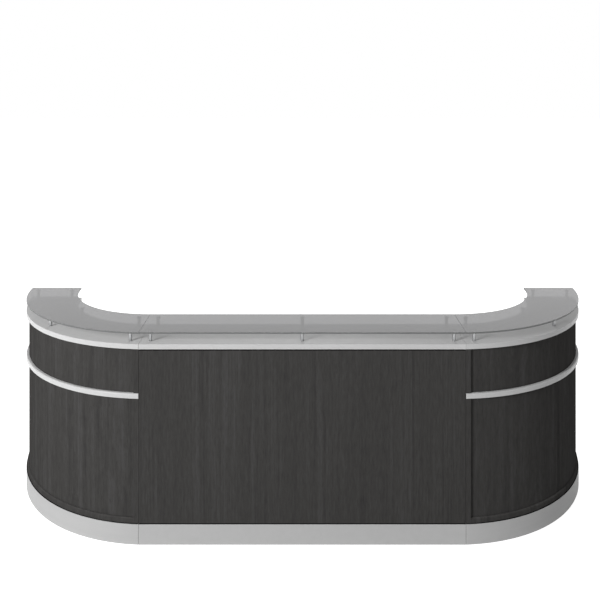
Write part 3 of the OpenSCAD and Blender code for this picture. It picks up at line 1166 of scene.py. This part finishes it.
@dataclass
class CornerModule(SubAssembly):
    """Quarter-round module: curved plinth, boards and panels, and its pane of glass."""

    side: Side = Side.RIGHT
    steps: int = 72
    panel_softening: float = 0.0025
    panel_segments: int = 3
    glass_corner: float = 0.006
    worktop_round: float = 0.006
    base_round: float = 0.010
    round_segments: int = 4

    def build(self) -> None:
        """Builds every board of the module."""
        plan, finishes, wood = self.plan, self.finishes, self.finishes.wood
        # The plinth's top and the panels' top and bottom edges get near-black paint: painted shade in the
        # shadow gaps
        self.strip(
            "plinth", finishes.silver, inset=0.0, depth=plan.plinth_thickness, end_gap=0.0, shaded_gaps=GapShade.TOP
        )
        self.strip(
            "base_board", wood, inset=plan.face_setback, depth=plan.base_board_depth,
            end_gap=plan.gable_thickness, front_round=self.base_round,
        )
        for name in ("lower_fascia", "upper_fascia"):
            self.strip(
                name, wood, inset=plan.fascia_inset, depth=plan.fascia_thickness,
                end_gap=plan.gable_thickness, shaded_gaps=GapShade.BOTH,
            )
        self.curved_board(
            "worktop", finishes.white, finishes.white_band, plan.worktop_radius,
            front_round=self.worktop_round,
        )
        self.curved_board("counter", finishes.white, finishes.white_band, plan.counter_radius)
        self.curved_board(
            "glass", finishes.glass, finishes.glass_edge, plan.counter_radius, GapShade.NONE,
            corner=self.glass_corner,
        )
        for name in ("seam_gable", "end_gable", "upper_seam_side", "upper_end_side"):
            self.board(f"{name}_{self.side.label}", wood, shift=plan.seam_gap / 2, shaded_gaps=GapShade.NONE)

    def around(self, point: Vector) -> Vector:
        """Follows the grain of a curved board.

        Args:
            point: A point of the board.

        Returns:
            Its place round the corner, up the board, and out from the arc's centre.
        """
        centre_x, centre_y = self.plan.arc_centre
        across, out = abs(point.x) - centre_x, point.y - centre_y
        turn = self.side.value * math.atan2(out, across)
        return Vector((self.plan.outline_radius * turn, point.z, math.hypot(across, out)))

    def strip(
        self, name: str, face: Finish, inset: float, depth: float, end_gap: float,
        shaded_gaps: GapShade = GapShade.SEAM, front_round: float = 0.0,
    ) -> None:
        """Builds a curved strip of constant thickness.

        Args:
            name: Name of the node without its side.
            face: Finish of the strip.
            inset: Setback of its outer face behind the outline.
            depth: Its thickness.
            end_gap: Distance from its ends to the seam and to the back of the desk.
            shaded_gaps: Which of its edges are painted black as the shade of a joint or shadow gap.
            front_round: Rounding of the upper edge on the visitors' side, if it has more than the rest.
        """
        plan = self.plan
        start_x = max(plan.half_width + end_gap, plan.seam_x)
        end_y = plan.back_y - end_gap
        outer = plan.outline_radius - inset
        inner = outer - depth
        start, end = plan.span(outer, start_x, end_y)
        outline = Outline().arc(plan.arc_centre, outer, start, end, self.steps)
        start, end = plan.span(inner, start_x, end_y)
        outline.arc(plan.arc_centre, inner, end, start, self.steps)
        self.raise_outline(name, outline, face, None, shaded_gaps, front_round)

    def curved_board(
        self, name: str, face: Finish, band: Finish, back_radius: float, shaded_gaps: GapShade = GapShade.SEAM,
        corner: float = 0.0, front_round: float = 0.0,
    ) -> None:
        """Builds a board with a convex front and a concave staff-side edge.

        Args:
            name: Name of the node without its side.
            face: Finish of its faces.
            band: Finish of its edge.
            back_radius: Radius of the staff-side edge.
            shaded_gaps: Which of its edges are painted black as the shade of a joint or shadow gap.
            corner: Radius of the rounded corner at the back of the desk.
            front_round: Rounding of the upper edge on the visitors' side, if it has more than the rest.
        """
        plan = self.plan
        start, end = plan.span(plan.outline_radius, plan.seam_x, plan.back_y)
        outline = Outline().arc(plan.arc_centre, plan.outline_radius, start, end, self.steps)
        last = -math.acos((plan.seam_x - plan.half_width) / back_radius)
        outline.arc((plan.half_width, plan.back_y), back_radius, 0.0, last, self.steps // 2)
        if corner:
            far_x = plan.half_width + plan.outline_radius / 2
            outline = outline.rounded(corner, lambda point: point.x > far_x)
        self.raise_outline(name, outline, face, band, shaded_gaps, front_round)

    def raise_outline(
        self, name: str, outline: Outline, face: Finish, band: Finish | None, shaded_gaps: GapShade,
        front_round: float,
    ) -> None:
        """Raises an outline between its node's levels, softens it and places it.

        Args:
            name: Name of the node without its side.
            outline: Plan of the board on the right-hand side.
            face: Finish of its faces.
            band: Finish of its edge band, if it has one.
            shaded_gaps: Which of its edges are painted black as the shade of a joint or shadow gap. A board
                that has them at its top and bottom is a panel, and its upright edges are rounded more.
            front_round: Rounding of the upper edge on the visitors' side, if it has more than the rest.
        """
        node = f"{name}_{self.side.label}"
        low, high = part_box(node)
        shape = from_outline(outline.on_side(self.side), low.z, high.z)
        if front_round:
            rim = max(self.around(v.co).z for v in shape.verts) - TINY
            soften(shape, front_round, self.round_segments, lambda edge: all(
                v.co.z > high.z - TINY and self.around(v.co).z > rim for v in edge.verts
            ))
        if shaded_gaps is GapShade.BOTH:
            tall = (high.z - low.z) / 2
            soften(shape, self.panel_softening, self.panel_segments, lambda edge: edge.calc_length() > tall)
        soften(shape, self.softening(face))
        self.finish_board(shape, node, face, band, shaded_gaps, self.around)


@dataclass
class GlassPosts(SubAssembly):
    """Short posts that carry the glass, each with a steel pad bonded under the pane."""

    chamfer: float = 0.0006
    groove: float = 0.0005
    groove_at: float = 0.006
    stud_radius: float = 0.003
    film_gap: float = 0.00005
    pad_steps: int = 48

    @property
    def counter_top(self) -> float:
        """Level that the posts stand on."""
        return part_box(f"counter_{Side.RIGHT.label}")[1].z

    def build(self) -> None:
        """Builds the posts and pads of the three panes."""
        for pane in ("left", "centre", "right"):
            self.place_set(f"glass_posts_{pane}", self.post, self.finishes.steel)
            self.place_set(f"glass_pads_{pane}", self.pad, self.finishes.steel, self.finishes.bond)

    def post(self, box: Box) -> Mesh:
        """Turns one post, with a fine groove near its foot and its stud down in the counter.

        Args:
            box: The post's box.

        Returns:
            Its mesh in place.
        """
        low, high = box
        floor, top, edge = self.counter_top, high.z, self.chamfer
        radius, cut, line = (high.x - low.x) / 2, self.groove, floor + self.groove_at
        profile = [
            (0.0, low.z), (self.stud_radius, low.z), (self.stud_radius, floor),
            (radius - edge, floor), (radius, floor + edge), (radius, line),
            (radius - cut, line + cut), (radius - cut, line + 2 * cut), (radius, line + 3 * cut),
            (radius, top - edge), (radius - edge, top), (0.0, top),
        ]
        return moved(from_profile(profile), to_middle(box))

    def pad(self, box: Box) -> Mesh:
        """Turns one pad, with the film that bonds it to the glass on its top.

        Args:
            box: The pad's box.

        Returns:
            Its mesh in place, the film with the second finish.
        """
        low, high = box
        radius, edge, top = (high.x - low.x) / 2, self.chamfer, high.z - self.film_gap
        profile = [
            (0.0, low.z), (radius - edge, low.z), (radius, low.z + edge),
            (radius, top - edge / 2), (radius - edge / 2, top), (0.0, top),
        ]
        disc = from_profile(profile, self.pad_steps)
        for face in disc.faces:
            face.material_index = int(face.calc_center_median().z > top - TINY)
        return moved(disc, to_middle(box))


@dataclass
class ModuleBolts(SubAssembly):
    """Bolts that clamp two modules together, with a socket in each wide head."""

    head_height: float = 0.003
    socket_width: float = 0.005
    socket_depth: float = 0.0022
    shank_radius: float = 0.004

    def build(self) -> None:
        """Builds the bolts of both seams."""
        for side in Side:
            self.place_set(f"connector_bolts_{side.label}", self.bolt, self.finishes.zinc)

    def bolt(self, box: Box) -> Mesh:
        """Builds one bolt along X, with a head at each end.

        Args:
            box: The bolt's box.

        Returns:
            Its mesh in place.
        """
        low, high = box
        radius, reach = (high.z - low.z) / 2, (high.x - low.x) / 2 - self.head_height
        shank = self.shank_radius
        parts = [from_profile([(0.0, -reach), (shank, -reach), (shank, reach), (0.0, reach)])]
        head = SocketHead(radius, self.head_height, self.socket_width, self.socket_depth)
        for turn in (0.0, math.pi):
            to_end = Matrix.Rotation(turn, 4, "X") @ Matrix.Translation((0, 0, reach))
            parts.append(moved(head.build(), to_end))
        to_x = Matrix.Rotation(math.pi / 2, 4, "Y")
        return moved(joined(parts), Matrix.Translation((low + high) / 2) @ to_x)


@dataclass
class Brackets(SubAssembly):
    """Bent steel angles behind the flat fascia, each held by four screws."""

    thickness: float = 0.003
    bend: float = 0.004
    sheet_softening: float = 0.0004
    screw: SocketHead = SocketHead()
    screw_spread: float = 0.014
    # Place of the screws along each leg, as a share of its length
    screw_reach: float = 0.62

    def build(self) -> None:
        """Builds the group of brackets with its screws."""
        self.place_set("support_brackets", self.bracket, self.finishes.zinc)
        screws = [head for box in parts_of("support_brackets") for head in self.screws(box)]
        self.place(joined(screws), "bracket_screws", [self.finishes.zinc])

    def bracket(self, box: Box) -> Mesh:
        """Builds one bent angle: its profile lies across X and is raised along X.

        Args:
            box: The bracket's box.

        Returns:
            Its mesh in place.
        """
        low, high = box
        deep, tall, thick = high.y - low.y, high.z - low.z, self.thickness
        inside, outside = Vector((thick, tall - thick)), Vector((0.0, tall))
        profile = Outline([
            (0.0, 0.0), (thick, 0.0), tuple(inside), (deep, tall - thick), (deep, tall), tuple(outside),
        ])
        profile = profile.rounded(self.bend - thick / 2, lambda point: (point - inside).length < TINY)
        profile = profile.rounded(self.bend, lambda point: (point - outside).length < TINY)
        shape = from_outline(profile, 0.0, high.x - low.x)
        soften(shape, self.sheet_softening)
        turn = Matrix(((0, 0, 1, low.x), (1, 0, 0, low.y), (0, 1, 0, low.z), (0, 0, 0, 1)))
        return moved(shape, turn)

    def screws(self, box: Box) -> list[Mesh]:
        """Builds the screw heads of one bracket, two on each leg.

        Args:
            box: The bracket's box.

        Returns:
            Their meshes in place.
        """
        low, high = box
        size, thick = (high - low) * self.screw_reach, self.thickness
        level_leg = (low.y + size.y, high.z - thick, math.pi)
        upright_leg = (low.y + thick, high.z - size.z, -math.pi / 2)
        heads = []
        for y, z, turn in (level_leg, upright_leg):
            for spread in (self.screw_spread, -self.screw_spread):
                spot = Matrix.Translation(((low.x + high.x) / 2 + spread, y, z))
                heads.append(moved(self.screw.build(), spot @ Matrix.Rotation(turn, 4, "X")))
        return heads


@dataclass
class CableTray(SubAssembly):
    """Folded sheet tray under the middle worktop, screwed up through its flanges."""

    screws_per_flange: int = 4
    screw: SocketHead = SocketHead()
    flange: float = 0.014
    sheet: float = 0.0015
    sheet_softening: float = 0.0005

    def build(self) -> None:
        """Builds the tray and its screws."""
        shape = from_node("cable_tray")
        soften(shape, self.sheet_softening)
        self.place(shape, "cable_tray_sheet", [self.finishes.powder], ["cable_tray"], fibres=lengthwise)
        low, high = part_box("cable_tray")
        heads = []
        for row in (low.y + self.flange / 2, high.y - self.flange / 2):
            for i in range(self.screws_per_flange):
                x = low.x + (high.x - low.x) * (i + 0.5) / self.screws_per_flange
                spot = Matrix.Translation((x, row, high.z - self.sheet))
                heads.append(moved(self.screw.build(), spot @ Matrix.Rotation(math.pi, 4, "X")))
        self.place(joined(heads), "cable_tray_screws", [self.finishes.zinc])


@dataclass
class CablePorts(SubAssembly):
    """Two lined cable ports in the middle worktop, each with a turning cap."""

    collar_radius: float = 0.030
    flange_thickness: float = 0.0025
    wall: float = 0.002
    ledge: float = 0.003
    lip: float = 0.0006
    slot_width: float = 0.018
    slot_inset: float = 0.012
    steps: int = 64

    def build(self) -> None:
        """Builds the rings and the caps."""
        self.place_set("port_rings", self.ring, self.finishes.plastic)
        for side in Side:
            node = f"port_cap_{side.label}"
            self.place(self.cap(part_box(node)), f"{node}_disc", [self.finishes.plastic], [node], body=node)

    def ring(self, box: Box) -> Mesh:
        """Turns one ring with its flange and the ledge under its cap.

        Args:
            box: The ring's box.

        Returns:
            Its mesh in place.
        """
        low, high = box
        under_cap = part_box("port_cap_left")[0].z
        flange, top, lip = (high.x - low.x) / 2, high.z, self.lip
        worktop = top - self.flange_thickness
        inner = self.collar_radius - self.wall
        seat = inner - self.ledge
        profile = [
            (seat, low.z), (self.collar_radius, low.z), (self.collar_radius, worktop), (flange, worktop),
            (flange, top - 2 * lip), (flange - lip, top - lip / 2), (flange - 2.5 * lip, top),
            (inner + lip, top), (inner, top - lip), (inner, under_cap), (seat, under_cap),
        ]
        return moved(from_profile(profile, self.steps), to_middle(box))

    def cap(self, box: Box) -> Mesh:
        """Cuts one cap: a disc with a round-ended slot open towards the staff.

        Args:
            box: The cap's box.

        Returns:
            Its mesh in place.
        """
        low, high = box
        radius, half = (high.x - low.x) / 2, self.slot_width / 2
        x, y = (low.x + high.x) / 2, low.y + radius
        mouth = math.acos(half / radius)
        outline = Outline().arc((x, y), radius, math.pi - mouth, 2 * math.pi + mouth, self.steps)
        outline.arc((x, y + self.slot_inset + half), half, 0.0, -math.pi, self.steps // 4)
        shape = from_outline(outline, low.z, high.z)
        soften(shape, self.lip)
        return shape


@dataclass
class LevellingFeet(SubAssembly):
    """Twelve screw feet with their sleeves: nylon base, plated nut and threaded rod."""

    base_radius: float = 0.012
    base_steps: int = 48
    rim_height: float = 0.005
    base_height: float = 0.009
    chamfer: float = 0.0010
    lip: float = 0.0006
    nut_width: float = 0.013
    nut_height: float = 0.004
    nut_softening: float = 0.0005
    screw_radius: float = 0.004
    thread_depth: float = 0.0006
    thread_steps: int = 20
    pitch: float = 0.00125

    def build(self) -> None:
        """Builds each foot on its own body, and the sleeves."""
        sleeves = "foot_sleeves"
        feet = sorted(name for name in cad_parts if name.startswith("foot_") and name != sleeves)
        for node in feet:
            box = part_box(node)
            shape = moved(self.foot(box[1].z), to_middle(box))
            self.place(shape, f"{node}_screw", [self.finishes.nylon, self.finishes.zinc], [node], body=node)
        self.place(from_node(sleeves), f"{sleeves}_set", [self.finishes.zinc], [sleeves])

    def foot(self, top: float) -> Mesh:
        """Builds one foot on the Z axis.

        Args:
            top: Level of the screw's end.

        Returns:
            Its mesh, the nylon first and the steel with the second finish.
        """
        radius, rim, base = self.base_radius, self.rim_height, self.base_height
        lip, chamfer = self.lip, self.chamfer
        boss = self.nut_width / 2 + 2 * lip
        profile = [
            (0.0, 0.0), (radius - 2 * lip, 0.0), (radius, chamfer), (radius, rim - lip),
            (radius - lip, rim), (radius - lip - chamfer, rim + chamfer - lip),
            (boss + lip, base - lip), (boss, base), (0.0, base),
        ]
        corner = self.nut_width / 2 / math.cos(math.pi / 6)
        hexagon = Outline([tuple(point.xy) for point in circle(corner, 0.0, 6)])
        nut = from_outline(hexagon, base, base + self.nut_height)
        soften(nut, self.nut_softening)
        steel = joined([nut, self.rod(base + self.nut_height, top)])
        for face in steel.faces:
            face.material_index = 1
        return joined([from_profile(profile, self.base_steps), steel])

    def rod(self, bottom: float, top: float) -> Mesh:
        """Builds the threaded rod: a thread wound over a plain core.

        Args:
            bottom: Lowest level.
            top: Highest level.

        Returns:
            Its mesh on the Z axis.
        """
        crest, root, steps = self.screw_radius, self.screw_radius - self.thread_depth, self.thread_steps
        rows = (root, crest, crest, root)
        last = round((top - bottom) / self.pitch * len(rows)) - len(rows)
        shape = bmesh.new()
        grid = []
        for row in range(last + 1):
            ring, radius = [], rows[row % len(rows)]
            for i in range(steps + 1):
                turn = 2 * math.pi * i / steps
                level = bottom + self.pitch * (row / len(rows) + i / steps)
                ring.append(shape.verts.new((radius * math.cos(turn), radius * math.sin(turn), level)))
            grid.append(ring)
        for low, high in zip(grid, grid[1:]):
            for i in range(steps):
                shape.faces.new((low[i], low[i + 1], high[i + 1], high[i]))
        bmesh.ops.remove_doubles(shape, verts=shape.verts, dist=TINY)
        point = root / 2
        core = [(0.0, bottom), (root, bottom), (root, top - point), (point, top), (0.0, top)]
        return joined([shape, from_profile(core, steps)])


@dataclass(frozen=True)
class PhotoCamera:
    """Camera at the photograph's viewing angle, in pixels of its 600 by 600 frame."""

    frame_px: float = 600.0
    focal_px: float = 762.0
    axis_x_px: float = 304.5
    horizon_y_px: float = 80.0
    place: Triple = (0.011, -4.120, 2.272)
    sensor_mm: float = 36.0

    def build(self) -> None:
        """Makes the camera. It looks level, and its shift keeps uprights upright as in the photograph."""
        data = bpy.data.cameras.new("photo_camera")
        camera = add_object("photo_camera", data)
        data.sensor_width = data.sensor_height = self.sensor_mm
        data.lens = self.sensor_mm * self.focal_px / self.frame_px
        data.shift_x = (self.frame_px / 2 - self.axis_x_px) / self.frame_px
        data.shift_y = (self.horizon_y_px - self.frame_px / 2) / self.frame_px
        camera.location = self.place
        camera.rotation_euler = (math.pi / 2, 0.0, 0.0)
        bpy.context.scene.camera = camera


@dataclass(frozen=True)
class Lamp:
    """Round soft lamp. Its bearing runs from the visitors' side to the left, its height up from level."""

    name: str
    bearing: float
    height: float
    size: float
    power: float
    distance: float = 8.5

    def hang(self, aim: Triple) -> None:
        """Hangs the lamp and points it at the desk.

        Args:
            aim: Point of the desk that it shines on.
        """
        data = bpy.data.lights.new(self.name, "AREA")
        data.energy = self.power
        data.shape = "DISK"
        data.size = self.size
        lamp = add_object(self.name, data)
        bearing, level = self.bearing, math.cos(self.height)
        away = Vector((-math.sin(bearing) * level, -math.cos(bearing) * level, math.sin(self.height)))
        lamp.location = Vector(aim) + away * self.distance
        lamp.rotation_mode = "QUATERNION"
        lamp.rotation_quaternion = (-away).to_track_quat("-Z", "Y")


@dataclass(frozen=True)
class Studio:
    """White studio: a soft lamp to the left of the visitors, a fill behind, a pale floor and world."""

    main: Lamp = Lamp("soft_lamp", math.radians(43), math.radians(25), size=1.7, power=470.0)
    fill: Lamp = Lamp("fill_lamp", math.radians(180), math.radians(36), size=3.2, power=200.0)
    aim: Triple = (0.0, 0.0, 0.6)
    # Strength of the world as a light
    sky: float = 0.335
    floor_colour: str = "#e8e8e8"
    # Glow that lifts the unshaded floor to white where it is seen
    floor_lift: float = 0.86
    floor_half: float = 40.0

    def build(self) -> None:
        """Makes the lamps, the world and the floor."""
        bpy.context.scene.view_settings.view_transform = "Standard"
        self.main.hang(self.aim)
        self.fill.hang(self.aim)
        self.make_world()
        self.make_floor()

    def make_world(self) -> None:
        """Makes the world: white where it is seen, and a plain grey level as a light."""
        world = bpy.data.worlds.new("studio")
        bpy.context.scene.world = world
        graph = Graph(world)
        level = graph.add("MapRange", {"Value": graph.seen_directly(), "To Min": self.sky})
        white = (1.0, 1.0, 1.0, 1.0)
        sky = graph.add("Background", {"Color": white, "Strength": level.outputs["Result"]})
        graph.show(sky.outputs["Background"])

    def make_floor(self) -> None:
        """Lays the floor: it takes shadows, and shows as white where nothing shades it."""
        mesh = bpy.data.meshes.new("floor")
        reach = self.floor_half
        corners = [(-reach, -reach, 0), (reach, -reach, 0), (reach, reach, 0), (-reach, reach, 0)]
        mesh.from_pydata(corners, [], [(0, 1, 2, 3)])
        floor = add_object("floor", mesh)
        material = bpy.data.materials.new("floor_paint")
        graph = Graph(material)
        paint = graph.add("BsdfDiffuse", {"Color": linear(self.floor_colour)}).outputs["BSDF"]
        lift = graph.product(graph.seen_directly(), self.floor_lift)
        glow = graph.add("Emission", {"Strength": lift}).outputs["Emission"]
        graph.show(graph.add("AddShader", {0: paint, 1: glow}).outputs["Shader"])
        mesh.materials.append(material)


def write_sizes() -> None:
    """Updates the view layer. It writes no sizes."""
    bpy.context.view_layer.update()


def main() -> None:
    """Builds the camera, the studio and the desk's sub-assemblies in order."""
    logging.basicConfig(level=logging.INFO, format="%(name)s %(message)s")
    plan, finishes = DeskPlan(), Finishes()
    PhotoCamera().build()
    Studio().build()
    MiddleModule(plan, finishes).build()
    for side in Side:
        CornerModule(plan, finishes, side=side).build()
    for kind in (GlassPosts, ModuleBolts, Brackets, CableTray, CablePorts, LevellingFeet):
        kind(plan, finishes).build()
    write_sizes()


if __name__ == "__main__":
    main()
